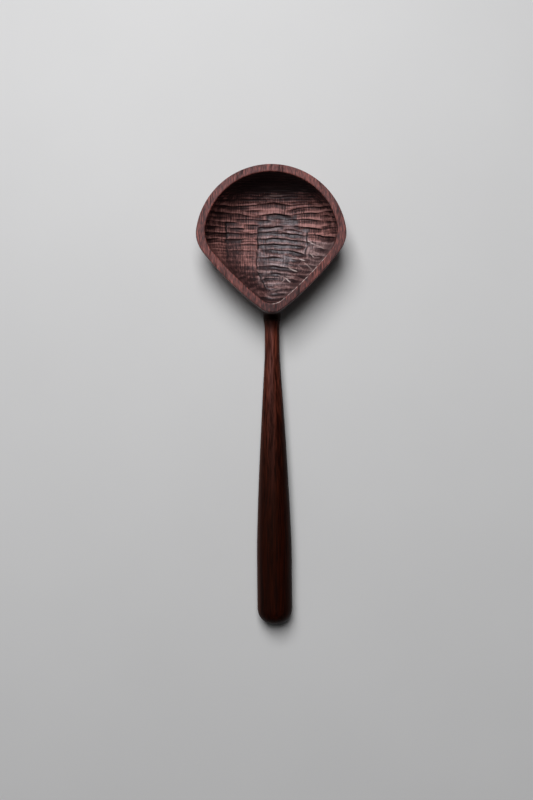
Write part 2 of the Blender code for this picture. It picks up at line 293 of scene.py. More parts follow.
# Painted highlights on ridges, thin ones sharp: (x and y of one end, x and y of the other, how pale, half the
# width).
RIDGES = [
    (9.4, -11.6, 14.6, -14.3, 1, 0.38), (7.2, -17.5, 11.3, -20.2, 0.9, 0.4), (5.6, -20.3, 8.2, -17.9, 0.5, 0.34),
    (7.6, -16.8, 13.4, -17.2, 0.62, 0.32), (3.6, -16, 7.6, -17.2, 0.5, 0.32),
    (0.8, -21.6, 4.2, -19.9, 0.36, 0.34), (-0.4, -25.4, 6.4, -22.9, 0.26, 0.4), (19.9, 3, 24.2, 1.2, 0.95, 0.38),
    (23, 1.6, 30.3, -1.6, 0.55, 0.34), (20.6, -0.1, 20.1, -5.4, 0.42, 0.36), (22.2, -1.9, 27.6, -4.9, 0.4, 0.34),
    (21.8, -3.6, 24.4, -6.7, 0.8, 0.38), (23.6, -6.2, 27.8, -6.6, 0.36, 0.34), (15.2, -7, 19.4, -7.9, 0.85, 0.38),
    (10.6, -6.1, 15.4, -7.5, 0.55, 0.34), (17.8, -8.7, 23.2, -13.1, 0.5, 0.36),
    (14.6, -10.4, 19, -13.6, 0.3, 0.34), (14.4, -3, 18.7, -3.4, 0.3, 0.7), (14.2, 3.3, 18.6, 1.2, 0.14, 0.8),
    (-5, 12, 3.5, 12.9, 0.26, 0.95), (-5.4, 8.4, 5.8, 10.2, 0.22, 0.8), (-5.4, 5, 1, 6, 0.12, 0.8),
    (4, -22.9, 10.8, -22.4, 0.16, 0.45), (2, -28, 9.6, -26.8, 0.16, 0.5), (6.9, 22.8, 7.1, 18.4, 0.26, 0.36),
    (8.6, 22.6, 8.7, 19, 0.2, 0.3), (11.6, 24.6, 11.7, 21.8, 0.18, 0.34), (16.9, 14.4, 17, 10.4, 0.18, 0.34),
    (21.8, 14.8, 21.9, 10.9, 0.16, 0.36), (-5, 27.3, 4, 27.5, 0.2, 0.6), (-1.5, 28.3, 7, 28.2, 0.24, 0.6),
    (-7, 33, 16, 33.3, 0.03, 0.5),
]
RIDGE_HEIGHT = 0.12
RIDGE_WANDER = 0.15
# Zones of the wood in the hollow, each laid over those before it: (left, right, far, near, tint, polish).
ZONES = [
    # Painted shade: the second and third zones darken the far wall, the third below zero so that it is blackened.
    (-45, 45, 45, -45, 0.42, 0.35), (-45, 45, 45, 25, 0.12, 0.25), (-45, 45, 45, 29.6, -0.36, 0.2),
    (-45, -9, 24, -9, 0.55, 0.25), (-13, 14, 24, 15.5, 0.94, 0.3), (-17.5, -7.4, 12, -14, 0.76, 0.3),
    (-25, -17.5, 13, -11, 0.3, 0.55), (-45, -7, -12, -45, 0.19, 0.5), (14, 45, 24, 3, 0.78, 0.3),
    (12, 45, 3, -45, 0.64, 1.3), (-2.5, 14.5, 17, 11.5, 0.09, 0.85), (-7.2, 15, 13.5, 4, 0.19, 0.85),
    (-7.2, 20.4, 9, -23, 0.41, 1), (-7.2, 10, -6.5, -23, 0.54, 1.3), (-9, 14, -23.5, -45, 0.46, 1.3),
    (-45, -2, -22, -45, 0.2, 0.6), (-45, 45, -29, -45, 0.04, 0.6),
]
ZONE_EDGE = 3.0
ZONE_WAVER = 0.8
ZONE_WAVER_SIZES = ((2.5, 4.0), (3.0, 2.5))
# Marks fade out over this height below the rim.
RIM_FADE = 0.9
# The most that a cut is narrowed on the wall.
STRETCH_MOST = 3.0
SEED = 11

# Fine marks of the gouge: the width and length of each, and its depth, in millimetres.
STREAK_SIZE = (0.75, 7.0)
STREAK_DEPTH = 0.04
RIPPLE_SIZE = (5.0, 1.0)
RIPPLE_DEPTH = 0.11
# The ripples are deeper near the tip: how much, from which place, and over which length.
RIPPLE_GAIN = 0.9
RIPPLE_NEAR = (-8.0, -9.0)
# How much the ripples bow towards the tip at the sides, in millimetres per square millimetre.
RIPPLE_BOW = 0.013
# Chatter of the gouge. It sets in below this polish and beyond this place, over these lengths.
CHATTER_SPACING = 1.57
CHATTER_DEPTH = 0.115
CHATTER_SIZE = (8.0, 5.0)
CHATTER_WAVER = 0.5
CHATTER_POLISH = (0.7, -0.4)
CHATTER_NEAR = (-9.0, 9.0)
SWELL_SIZE = (9.0, 7.0)
SWELL_DEPTH = 0.22
# Cells of the grid over which relief is measured.
RELIEF_REACH = (12, 3)


def random_field(rng, x, y, size):
    """A smooth random field, from -1 to 1, with features of this width and length in millimetres."""
    place_x, place_y = (x - x.min()) / size[0], (y - y.min()) / size[1]
    knots = rng.uniform(-1, 1, (int(place_y.max()) + 2, int(place_x.max()) + 2))
    column, row = place_x.astype(int), place_y.astype(int)
    u, v = place_x - column, place_y - row
    u, v = u * u * (3 - 2 * u), v * v * (3 - 2 * v)
    far = knots[row, column] * (1 - u) + knots[row, column + 1] * u
    near = knots[row + 1, column] * (1 - u) + knots[row + 1, column + 1] * u
    return far * (1 - v) + near * v


def blurred(field, reach_rows, reach_columns):
    """A field's running mean over this many cells each way along its rows and columns."""
    for axis, cells in ((0, reach_rows), (1, reach_columns)):
        pad = [(cells, cells) if i == axis else (0, 0) for i in range(2)]
        padded = np.pad(field, pad, mode="edge")
        count = field.shape[axis]
        window = 2 * cells + 1
        field = sum(np.take(padded, range(i, i + count), axis=axis) for i in range(window)) / window
    return field


def smooth_step(value, start=0.0, length=1.0):
    """0 at the start and 1 at this length past it, which may lie below it."""
    value = np.clip((value - start) / length, 0.0, 1.0)
    return value * value * (3 - 2 * value)


def xyz(*parts):
    return np.stack(np.broadcast_arrays(*parts), axis=-1)


def polar(radius, bearing, height, shift=0.0):
    return xyz(radius * np.sin(bearing), radius * np.cos(bearing) + shift, height)


def unit(vectors):
    return vectors / np.maximum(np.linalg.norm(vectors, axis=-1, keepdims=True), TINY)


def cut_depth(x, y, stretch, rng, x0, y0, x1, y1, bow, depth):
    """Depth of one gouge cut, below zero outside it."""
    u = (x - 0.5 * (x0 + x1)) / (0.5 * (x1 - x0) * CUT_END)
    line = 0.5 * (y0 + y1) + 0.5 * (y1 - y0) * u + bow * (1 - u**2)
    phases = rng.uniform(0, PHASES, 2)
    for (width, length), phase in zip(CUT_WAVER, phases):
        line = line + width * np.sin(x / length + phase)
    v = (line - y) * stretch
    width = np.where(v < 0, FAR_SIDE, NEAR_SIDE * rng.uniform(*NEAR_SPREAD))
    unevenness = 1 + CUT_UNEVENNESS[0] * np.sin(x / CUT_UNEVENNESS[1] + phases[1])
    return depth * unevenness * (1 - (v / width) ** 2 - np.abs(u) ** CUT_END_POWER)


def line_mark(x, y, x0, y0, x1, y1, width, wander):
    """A mark along a line, 1 on it and falling to 0 at its width, that fades at its ends."""
    length = math.hypot(x1 - x0, y1 - y0)
    ux, uy = (x1 - x0) / length, (y1 - y0) / length
    along = (x - x0) * ux + (y - y0) * uy
    off = (x - x0) * uy - (y - y0) * ux + wander * np.sin(along * WANDER_RATE + x0)
    ends = np.clip(along / LINE_END, 0, 1) * np.clip((length - along) / LINE_END, 0, 1)
    return np.clip(1 - (off / width) ** 2, 0, 1) * ends


def zone_values(x, y, rng):
    """Tint and polish of the hollow's wood, soft at the zones' edges."""

    def within(inward):
        return smooth_step(inward / ZONE_EDGE + 0.5)

    x = x + ZONE_WAVER * random_field(rng, x, y, ZONE_WAVER_SIZES[0])
    y = y + ZONE_WAVER * random_field(rng, x, y, ZONE_WAVER_SIZES[1])
    tint, polish = np.zeros_like(x), np.zeros_like(x)
    for left, right, far, near, zone_tint, zone_polish in ZONES:
        share = within(x - left) * within(right - x) * (within(far - y) * within(y - near))
        tint += (zone_tint - tint) * share
        polish += (zone_polish - polish) * share
    return tint, polish


def carve(x, y, stretch, rng):
    """Depth of the gouge marks in millimetres at places as seen, their knife lines, and the painted highlights on
    ridges.

    stretch says how much a cut is narrowed, so that it doesn't widen down the wall."""
    depth = knife = worn = np.zeros_like(x)
    for cut in CUTS:
        depth = np.maximum(depth, cut_depth(x, y, stretch, rng, *cut))
    for *ends, deep in KNIFE_LINES:
        knife = np.maximum(knife, deep * line_mark(x, y, *ends, KNIFE_WIDTH, KNIFE_WANDER))
    for *ends, pale, width in RIDGES:
        worn = np.maximum(worn, pale * line_mark(x, y, *ends, width, RIDGE_WANDER))
    return depth + KNIFE_GROOVE * knife - RIDGE_HEIGHT * worn, knife, worn


def with_fine_marks(depth, x, y, polish, rng):
    """A depth with what lies between the cuts: swells, streaks, ripples and chatter."""
    swell = SWELL_DEPTH * random_field(rng, x, y, SWELL_SIZE)
    streaks = STREAK_DEPTH * random_field(rng, x, y, STREAK_SIZE)
    near_tip = smooth_step(y, *RIPPLE_NEAR)
    bent = y + RIPPLE_BOW * x**2 * near_tip
    ripples = RIPPLE_DEPTH * (1 + RIPPLE_GAIN * near_tip) * random_field(rng, x, bent, RIPPLE_SIZE)
    waver = CHATTER_WAVER * random_field(rng, x, y, CHATTER_SIZE)
    strength = CHATTER_DEPTH * (1 + random_field(rng, x, y, CHATTER_SIZE))
    strength *= smooth_step(polish, *CHATTER_POLISH)
    strength *= smooth_step(y, *CHATTER_NEAR)
    ripples += strength * np.sin(2 * np.pi * (y / CHATTER_SPACING + waver))
    return depth + swell + streaks + ripples


def hollow_grid():
    """The carved hollow as a grid of points from its far left to its near right, with what its material reads."""
    u, v = np.meshgrid(np.linspace(-1, 1, HOLLOW_COLUMNS + 1), np.linspace(1, -1, HOLLOW_ROWS + 1))
    # An elliptic map takes the square grid to a disc without a pole.
    disc_x = u * np.sqrt(1 - v**2 / 2)
    disc_y = v * np.sqrt(1 - u**2 / 2)
    bearing = np.arctan2(disc_x, disc_y)
    share = np.interp(np.minimum(np.hypot(disc_x, disc_y), 1.0), *share_by_length())
    share[0] = share[-1] = share[:, 0] = share[:, -1] = 1.0
    z = hollow_height(share)
    points = polar(share * reach(HOLLOW, bearing), bearing, z, HOLLOW_SHIFT)
    along_columns = np.gradient(points, axis=0)
    normal = unit(np.cross(along_columns, np.gradient(points, axis=1)))
    across, along = as_seen(points)
    step = np.linalg.norm(along_columns, axis=-1) / MM
    seen_step = np.maximum(np.abs(np.gradient(along, axis=0)), TINY)
    stretch = np.sqrt(np.clip(step / seen_step, 1.0, STRETCH_MOST))
    rng = np.random.default_rng(SEED)
    depth, knife, worn = carve(across, along, stretch, rng)
    tint, polish = zone_values(across, along, rng)
    depth = with_fine_marks(depth, across, along, polish, rng)
    depth *= np.clip((HOLLOW_TOP - z) / (RIM_FADE * MM), 0, 1) ** 0.5
    # Painted shade: steep steps and knife lines are marked to be blackened.
    fall = np.gradient(depth, axis=0) / np.maximum(step, TINY)
    crease = smooth_step(blurred(fall, 0, 1), *CREASE_SLOPE)
    crease = np.maximum(crease, np.minimum(KNIFE_DARK * knife, 1.0))
    relief = blurred(depth, *RELIEF_REACH) - depth
    points -= normal * (depth * MM)[..., None]
    return points, dict(relief=relief, crease=crease, worn=worn, tint=tint, polish=polish, inside=np.ones_like(z))


def ring(outline, bearing, shift, grow, height):
    """Points on an outline at this height, moved outward by grow and along Y by shift."""
    return polar(reach(outline, bearing) + grow, bearing, height, shift)


def wall_radius(bearing, height):
    """How far the outer wall still reaches at a height above the table."""
    to_tip = (0.5 - 0.5 * np.cos(bearing)) ** 2
    squareness = WALL_SQUARENESS_FAR + (WALL_SQUARENESS_TIP - WALL_SQUARENESS_FAR) * to_tip
    drop = np.clip((RIM_HEIGHT - height) / (RIM_HEIGHT + FOOT_CUT), 0, 1)
    return reach(OUTER, bearing) * (1 - drop**squareness) ** (1 / squareness)


def wall_point(bearing, height):
    return polar(wall_radius(bearing, height), bearing, height)


def wall_point_at(x, height):
    """The outer wall's point near the tip at this x and height."""
    bearing = np.full_like(x, np.pi)
    for _ in range(SOLVER_ROUNDS):
        bearing = np.pi - np.arcsin(x / wall_radius(bearing, height))
    return wall_point(bearing, height)


def evenly(values, steps, count):
    """As many of these values as count, evenly spaced by the lengths of the steps between them."""
    length = np.concatenate([[0.0], np.cumsum(steps)])
    return np.interp(np.linspace(0.0, length[-1], count), length, values)


def wall_heights():
    """Heights of the outer wall's rings, evenly spaced along it from below the rim's rounding to the foot."""
    height = np.linspace(RIM_HEIGHT - RIM_FALL - OUTER_ROUND, 0.0, TABLE_SAMPLES)
    radius = wall_radius(np.zeros_like(height), height)
    return evenly(height, np.hypot(np.diff(height), np.diff(radius)), OUTER_RINGS + 1)


def even_bearings():
    """Bearings evenly spaced along the outer edge, from the tip round the far end and back to the tip."""
    bearing = np.linspace(-np.pi, np.pi, TABLE_SAMPLES)
    edge = ring(OUTER, bearing, 0.0, 0.0, 0.0)
    return evenly(bearing, np.linalg.norm(np.diff(edge, axis=0), axis=1), OUTER_COLUMNS + 1)[:-1]


def shaft_radius(distance):
    """Radius of neck, taper and grip at distances past the tip of the rim."""
    along = (distance - TAPER_START) / TAPER_LENGTH
    soft = 0.5 * (along + np.hypot(along, TAPER_SOFTNESS))
    swell = 1 - (1 - np.minimum(soft, 1.0)) ** TAPER_EASE
    radius = NECK_RADIUS + (GRIP_RADIUS - NECK_RADIUS) * swell
    flare = FLARE_RADIUS * (1 - distance / FLARE_LENGTH) ** 2
    radius = radius + np.where(distance < FLARE_LENGTH, flare, 0.0)
    share = 1 - np.clip((HANDLE_REACH - distance) / GRIP_RADIUS, 0, 1)
    return radius * (1 - share**GRIP_END_SQUARENESS) ** (1 / GRIP_END_SQUARENESS)


def on_shaft(distance, radius, angle):
    """Points round the handle's axis. The angle runs from the top towards +X."""
    return xyz(radius * np.sin(angle), -TIP_REACH - distance, AXIS_HEIGHT + radius * np.cos(angle))


class Shell:
    """Vertices and faces of a surface that is built ring by ring."""

    def __init__(self):
        self.vertices, self.root, self.worn, self.faces, self.count = [], [], [], [], 0

    def add(self, points, root=0.0, worn=0.0):
        """Adds points. root says how far they have the handle's colour, glint the strength of a painted highlight.
        """
        points = np.asarray(points, float).reshape(-1, 3)
        self.vertices.append(points)
        self.root.append(np.full(len(points), root))
        self.worn.append(np.zeros(len(points)) + worn)
        self.count += len(points)
        return np.arange(self.count - len(points), self.count)

    def extend(self, previous, points, root=0.0, worn=0.0):
        """Adds a ring of points and joins it to a ring of as many. Returns the new one."""
        current = self.add(points, root, worn)
        corners = [previous, np.roll(previous, -1), np.roll(current, -1), current]
        self.faces += np.stack(corners, axis=1).tolist()
        return current

    def fan(self, centre, loop):
        self.faces += [[int(centre), int(a), int(b)] for a, b in zip(loop, np.roll(loop, -1))]

    def stitch(self, first, second, turn_first, turn_second):
        """Triangles between two closed rings of unlike counts. Turns grow along each, from -pi to pi."""
        first, second = ([*loop.tolist(), int(loop[0])] for loop in (first, second))
        turn_first, turn_second = ([*turn, turn[0] + 2 * np.pi, np.inf] for turn in (turn_first, turn_second))
        i = j = 0
        while i + j < len(first) + len(second) - 2:
            if turn_first[i + 1] <= turn_second[j + 1]:
                self.faces.append([first[i], first[i + 1], second[j]])
                i += 1
            else:
                self.faces.append([first[i], second[j + 1], second[j]])
                j += 1


def add_hollow(shell):
    """Adds the hollow. Returns its edge ring from the tip round by the left, its turns, and what it reads."""
    points, read = hollow_grid()
    index = shell.add(points).reshape(HOLLOW_ROWS + 1, HOLLOW_COLUMNS + 1)
    quads = np.stack([index[:-1, :-1], index[1:, :-1], index[1:, 1:], index[:-1, 1:]], axis=-1)
    shell.faces += quads.reshape(-1, 4).tolist()
    edge = np.concatenate([index[::-1, 0], index[0, 1:], index[1:, -1], index[-1, -2:0:-1]])
    place = points.reshape(-1, 3)[edge - index[0, 0]]
    turn = np.arctan2(place[:, 0], place[:, 1] - HOLLOW_SHIFT)
    first = int(np.argmin(turn))
    return np.roll(edge, -first), np.roll(turn, -first), read


def add_rim(shell, edge, turn, outer_turn):
    """Adds the rim: rounded inner edge, flat top, rounded outer edge. Returns the ring below that."""
    bearing = np.remainder(turn, 2 * np.pi)
    # Painted highlight along the rounded inner edge, to the right of the tip.
    edge_glint = EDGE_GLINT * smooth_step(bearing, *GLINT_STARTS)
    edge_glint *= smooth_step(bearing, *GLINT_STOPS)
    waves = (share * np.sin(bearing * rate + phase) for share, rate, phase in GLINT_WAVES)
    edge_glint *= np.clip(sum(waves, GLINT_MEAN), *GLINT_LIMITS)
    for step in range(1, ROUND_STEPS + 1):
        t = np.pi / 2 * step / ROUND_STEPS
        grow, height = INNER_EASE * (1 - math.cos(t)), HOLLOW_TOP + INNER_ROUND * math.sin(t)
        place = ring(HOLLOW, turn, HOLLOW_SHIFT, grow, height)
        edge = shell.extend(edge, place, worn=edge_glint * (step in GLINT_STEPS))
    edge = shell.extend(edge, ring(HOLLOW, turn, HOLLOW_SHIFT, INNER_EASE + EDGE_SUPPORT, RIM_HEIGHT))
    top = RIM_HEIGHT - RIM_FALL
    outer = shell.add(ring(OUTER, outer_turn, 0.0, -OUTER_ROUND - EDGE_SUPPORT, top))
    shell.stitch(edge, outer, turn, outer_turn)
    for step in range(ROUND_STEPS + 1):
        t = np.pi / 2 * step / ROUND_STEPS
        grow, height = OUTER_ROUND * (math.sin(t) - 1), top - OUTER_ROUND * (1 - math.cos(t))
        outer = shell.extend(outer, ring(OUTER, outer_turn, 0.0, grow, height))
    return outer


def add_neck_root(shell, loop, place):
    """Fills the opening round the neck: a patch of wall, a fillet, the seam's face and the socket."""
    x, height = place[:, 0], place[:, 2]
    angle = np.arctan2(x, height - AXIS_HEIGHT)
    start_x = FILLET_RADIUS * np.sin(angle)
    start_height = AXIS_HEIGHT + FILLET_RADIUS * np.cos(angle)
    for step in range(1, PATCH_RINGS + 1):
        t = step / PATCH_RINGS
        loop = shell.extend(loop, wall_point_at(x + (start_x - x) * t, height + (start_height - height) * t))
    start = wall_point_at(start_x, start_height)
    aim = wall_point_at(start_x * FILLET_AIM, AXIS_HEIGHT + (start_height - AXIS_HEIGHT) * FILLET_AIM)
    inward = unit(aim - start)
    seam_radius = shaft_radius(SEAM_OFFSET)
    seam = on_shaft(SEAM_OFFSET, seam_radius, angle)
    # The fillet meets the seam along the handle's own flare.
    backward = unit(on_shaft(SEAM_OFFSET - MM, shaft_radius(SEAM_OFFSET - MM), angle) - seam)
    pull = FILLET_PULL * np.linalg.norm(seam - start, axis=1, keepdims=True)
    knots = [start, start + inward * pull, seam + backward * pull, seam]
    for step in range(1, FILLET_RINGS + 1):
        t = step / FILLET_RINGS
        shares = [(1 - t) ** 3, 3 * t * (1 - t) ** 2, 3 * t**2 * (1 - t), t**3]
        loop = shell.extend(loop, sum(w * k for w, k in zip(shares, knots)), min(1.0, t / ROOT_BLEND))
    socket_radius = TENON_RADIUS + GLUE_LINE
    for radius in (seam_radius - SEAM_SUPPORT, socket_radius + SEAM_SUPPORT, socket_radius):
        loop = shell.extend(loop, on_shaft(SEAM_OFFSET, radius, angle), 1.0)
    loop = shell.extend(loop, on_shaft(TENON_END - GLUE_LINE, socket_radius, angle), 1.0)
    shell.fan(shell.add([0.0, -TIP_REACH - TENON_END + GLUE_LINE, AXIS_HEIGHT], 1.0)[0], loop)


def add_wall(shell, edge, bearings):
    """Adds the outer wall with the neck's root, and the foot."""
    heights = wall_heights()
    grid = np.stack([edge] + [shell.add(wall_point(bearings, height)) for height in heights[1:]])
    # The opening round the neck is the cells within these rows and columns, counted from the tip.
    half = FILLET_RADIUS + OPENING_MARGIN
    top, bottom = np.searchsorted(-heights, [-AXIS_HEIGHT - half, half - AXIS_HEIGHT]) - [1, 0]
    sideways = np.abs(reach(OUTER, bearings) * np.sin(bearings))
    side = int(np.sum((sideways < half) & (np.cos(bearings) < 0)) // 2) + 1
    after = np.roll(grid, -1, axis=1)
    quads = np.stack([grid[:-1], after[:-1], after[1:], grid[1:]], axis=-1)
    closed = np.ones(quads.shape[:2], bool)
    closed[top:bottom, np.arange(-side, side)] = False
    shell.faces += quads[closed].tolist()
    # The opening's edge: its top from the left, its right side, its bottom and its left side.
    across = np.arange(-side, side + 1) % OUTER_COLUMNS
    rows = slice(top + 1, bottom)
    loop = np.concatenate(
        [grid[top, across], grid[rows, across[-1]], grid[bottom, across[::-1]], grid[rows, across[0]][::-1]]
    )
    add_neck_root(shell, loop, np.concatenate(shell.vertices)[loop])
    foot = grid[-1]
    for share in FOOT_SHARES:
        foot = shell.extend(foot, wall_point(bearings, 0.0) * share)
    shell.fan(shell.add([0.0, 0.0, 0.0])[0], foot)


def compact(vertices, faces, attributes):
    """Leaves out the vertices that no face uses, such as those in the opening."""
    keep = np.zeros(len(vertices), bool)
    keep[[i for face in faces for i in face]] = True
    renumber = np.cumsum(keep) - 1
    faces = [[int(renumber[i]) for i in face] for face in faces]
    return vertices[keep], faces, {key: values[keep] for key, values in attributes.items()}


# What the bowl's material reads outside the hollow.
OUTSIDE = dict(relief=0.0, crease=0.0, tint=0.5, polish=0.35, inside=0.0)


def make_bowl(material, root_material):
    """The bowl. Its fillet, seam and socket have the handle's material."""
    shell = Shell()
    edge, turn, read = add_hollow(shell)
    bearings = even_bearings()
    below = add_rim(shell, edge, turn, bearings)
    add_wall(shell, below, bearings)
    vertices = np.concatenate(shell.vertices)
    attributes = {key: np.full(len(vertices), outside) for key, outside in OUTSIDE.items()}
    attributes["root"], attributes["worn"] = np.concatenate(shell.root), np.concatenate(shell.worn)
    for key, values in read.items():
        attributes[key][: values.size] = values.ravel()
    vertices, faces, attributes = compact(vertices, shell.faces, attributes)
    made = mesh_object("carved_bowl", vertices, faces, material, attributes)
    made.data.materials.append(root_material)
    is_root = [int(min(attributes["root"][i] for i in face) >= 1.0) for face in faces]
    made.data.polygons.foreach_set("material_index", is_root)
    return made


def make_handle(material):
    """The turned handle with its tenon."""
    shell = Shell()
    angle = np.linspace(np.pi, -np.pi, HANDLE_SIDES + 1)[:-1]
    straight = np.linspace(SEAM_OFFSET + GLUE_LINE, HANDLE_REACH - GRIP_RADIUS, HANDLE_RINGS)
    turns = np.linspace(0.0, np.pi / 2, GRIP_END_RINGS + 2)[1:-1]
    rounded = HANDLE_REACH - GRIP_RADIUS + GRIP_RADIUS * np.sin(turns)
    seam = straight[0]
    centre = shell.add([0.0, -TIP_REACH - TENON_END, AXIS_HEIGHT])[0]
    loop = shell.add(on_shaft(TENON_END, TENON_RADIUS - TENON_CHAMFER, angle))
    shell.fan(centre, loop[::-1])
    for distance in (TENON_END + TENON_CHAMFER, seam):
        loop = shell.extend(loop, on_shaft(distance, TENON_RADIUS, angle))
    for distance in np.concatenate([straight, rounded]):
        settle = np.clip((distance - seam) / UNEVEN_ENDS[0], 0, 1)
        settle *= np.clip((HANDLE_REACH - distance) / UNEVEN_ENDS[1], 0, 1)
        uneven = np.sin(distance / MM * HANDLE_BEND[0] + HANDLE_BEND[1]) * np.cos(angle - HANDLE_BEND[2])
        uneven = uneven + HANDLE_OVAL[0] * np.cos(2 * angle + distance / MM * HANDLE_OVAL[1])
        radius = shaft_radius(distance) + UNEVENNESS * settle * uneven - UNEVENNESS * settle
        loop = shell.extend(loop, on_shaft(distance, radius, angle))
    shell.fan(shell.add([0.0, -TIP_REACH - HANDLE_REACH, AXIS_HEIGHT])[0], loop)
    return mesh_object("turned_handle", np.concatenate(shell.vertices), shell.faces, material)


# Colours, linear.
WOOD_DARK = (0.027, 0.0108, 0.0105, 1.0)
WOOD_MIDDLE = (0.1, 0.04, 0.037, 1.0)
WOOD_LIGHT = (0.245, 0.105, 0.092, 1.0)
WOOD_PALE = (0.41, 0.195, 0.178, 1.0)
SHEEN_GREYING = (0.92, 1.34, 1.48, 1.0)
RIM_SHADE = (1.05, 0.69, 0.61, 1.0)
SHEEN = (0.94, 0.92, 1.0, 1.0)
PORE_AND_SHADE = (0.0105, 0.0046, 0.0046, 1.0)
GLINT_COLOUR = (0.56, 0.46, 0.44, 1.0)
NECK_LIGHT = (0.19, 0.045, 0.026, 1.0)
NECK_DARK = (0.024, 0.0045, 0.003, 1.0)
NECK_SHEEN_COLOUR = (0.23, 0.105, 0.1, 1.0)
HANDLE_SHEEN = (1.0, 0.6, 0.5, 1.0)
GRIP_LIGHT = (0.019, 0.003, 0.0009, 1.0)
GRIP_FLANK_SHEEN = (0.085, 0.024, 0.013, 1.0)
GRIP_DARK = (0.006, 0.0014, 0.0008, 1.0)
FLOOR_COLOUR = WORLD_COLOUR = (0.62, 0.62, 0.625, 1.0)
WORLD_FILL = 0.03
WHITE = (1.0, 1.0, 1.0, 1.0)

# Noises: stretch across and along the spoon, features per metre, detail, roughness, distortion and shift.
BOWL_NOISES = dict(
    bands=(1, 0.1, 190, 3, 0.55, 0.4, 0),
    striae=(1, 0.035, 850, 2, 0.6, 0, 0),
    fine=(1, 0.06, 1500, 2, 0.6, 0, 3),
    hairs=(1, 0.14, 2100, 2, 0.6, 0, 9),
    flecks=(1, 0.22, 1350, 2, 0.6, 0, 2),
    pores=(1, 0.1, 900, 2, 0.5, 0, 7),
    patches=(1, 0.6, 70, 2, 0.5, 0, 1.7),
    smears=(0.1, 1, 420, 2, 0.55, 0, 4),
    side_smears=(1, 0.12, 420, 2, 0.55, 0, 8),
    ends=(1, 0.05, 2700, 2, 0.5, 0, 6),
)
HANDLE_NOISES = dict(
    bands=(1, 0.035, 620, 3, 0.55, 0.1, 0),
    fibres=(1, 0.045, 1700, 2, 0.6, 0, 0),
    pores=(1, 0.04, 1300, 2, 0.5, 0, 5),
)
FLOOR_CLOUD = (1, 1, 9, 4, 0.55, 0, 0)
# Where most of a noise lies, where the smooth ones do, and where it makes pores.
NOISE, SOFT_NOISE, PORES = (0.3, 0.7), (0.35, 0.65), (0.58, 0.68)
WAVE_DETAIL = {"Detail": 3.0, "Detail Scale": 0.6}
# Waves: how far apart, how many times longer along Y, a point on their axis, and their distortion. Year rings lie
# round an axis below the spoon. The comb is of vessels, where the gouge left the wood unpolished.
YEAR_RINGS = (3.0 * MM, 8.0, (-0.03, 0.0, -0.085), 7.0)
COMB = (0.95 * MM, 14.0, (0.0, 0.0, 0.0), 3.5)

# How far each layer of grain swings the tone either way, or the ends of its swing: in the hollow, on the rim, on
# the outer wall, all over, and where the gouge smeared the hollow.
STRIAE, FLECKS, FINE, COMB_TONE = 0.24, 0.22, 0.28, (-0.36, 0.3)
RIM_STRIAE, RIM_HAIRS = 0.14, (-0.52, 0.62)
SKIN_STRIAE, SKIN_ENDS, SKIN_RINGS = 0.1, 0.2, (-0.13, 0.07)
BANDS, PATCHES = 0.14, (-0.1, 0.1)
SMEARS, SIDE_SMEARS = (-0.7, 0.9), (-0.22, 0.26)
TONE_SCALE = 0.7
# Masks and shares of the bowl: a value's two ends, then what these give, where it isn't 0 and 1.
SMEARED_HEIGHTS = (8 * MM, 17 * MM)
SMEARED_CALM = 0.85
SKIN_HEIGHTS = (RIM_HEIGHT - 0.4 * MM, RIM_HEIGHT - 2.4 * MM)
UNPOLISHED = (0.75, 0.3)
FAR_WALL = (-5 * MM, 8 * MM)
RELIEF_TONE = (-0.28, 0.26, -0.56, 0.54)
RIM_NEAR_TIP = (-0.026, -0.038, 0.0, 0.26)
RIM_ON_RIGHT = (0.02, 0.045, 0.0, 0.14)
BOWL_PORES = (*PORES, 0.0, 0.75)
SKIN_PORES = 0.75
SHADE_BLACKENING = (-0.04, -0.34, 0.0, 0.85)
CREASE_DARK = 0.92
SHEEN_GREYING_POLISH = (0.3, 1.3)
GLINT_WHITENING = (0.0, 0.5)
# Roughness by polish, its swing with the striae, and what pores, creases, root and painted highlights add to it.
BOWL_ROUGH = (0.0, 1.0, 0.66, 0.34)
ROUGH_STRIAE = -0.06
ROUGHER = (0.2, 0.25, 0.3, -0.2)
# How high flecks, striae and pores stand, or fibres and pores. Then each bump's strength and distance.
BOWL_HEIGHTS, BOWL_BUMP = (0.35, 0.65, -0.5), (0.8, 0.16 * MM)
HANDLE_HEIGHTS, HANDLE_BUMP = (0.3, -0.8), (0.3, 0.08 * MM)
BOWL_SPECULAR, HANDLE_SPECULAR = 0.3, 0.05

# The handle's tone, how far its grain swings it, and its masks.
HANDLE_TONE, HANDLE_BANDS, HANDLE_FIBRES = 0.46, 0.4, 0.58
NECKWARD, NECKWARD_POWER = (-0.165, -0.05), 2.2
NECK_SHADE = (1.0 * MM, 5.0 * MM, 0.0, 0.42)
NECK_TOP_LEFT = 0.9 * MM
NECK_TOP = (2.6 * MM, 0.4 * MM, 0.0, 0.5)
NECK_TOP_HEIGHTS = (AXIS_HEIGHT, AXIS_HEIGHT + 2 * MM)
NECK_SHEEN_TONE = 0.75
FLANK_SHEEN_SIDE = (-0.78, -0.97, 0.0, 0.65)
HANDLE_TIP = -TIP_REACH - HANDLE_REACH
FLANK_SHEEN_ALONG = (HANDLE_TIP + 2 * MM, HANDLE_TIP + 9 * MM)
HANDLE_PORES = (*PORES, 0.0, 0.6)
RIM_SHADOW_ON_NECK = (-TIP_REACH - SEAM_OFFSET - 9 * MM, -TIP_REACH - SEAM_OFFSET, 0.0, 0.9)
HANDLE_ROUGH = (*NOISE, 0.43, 0.54)


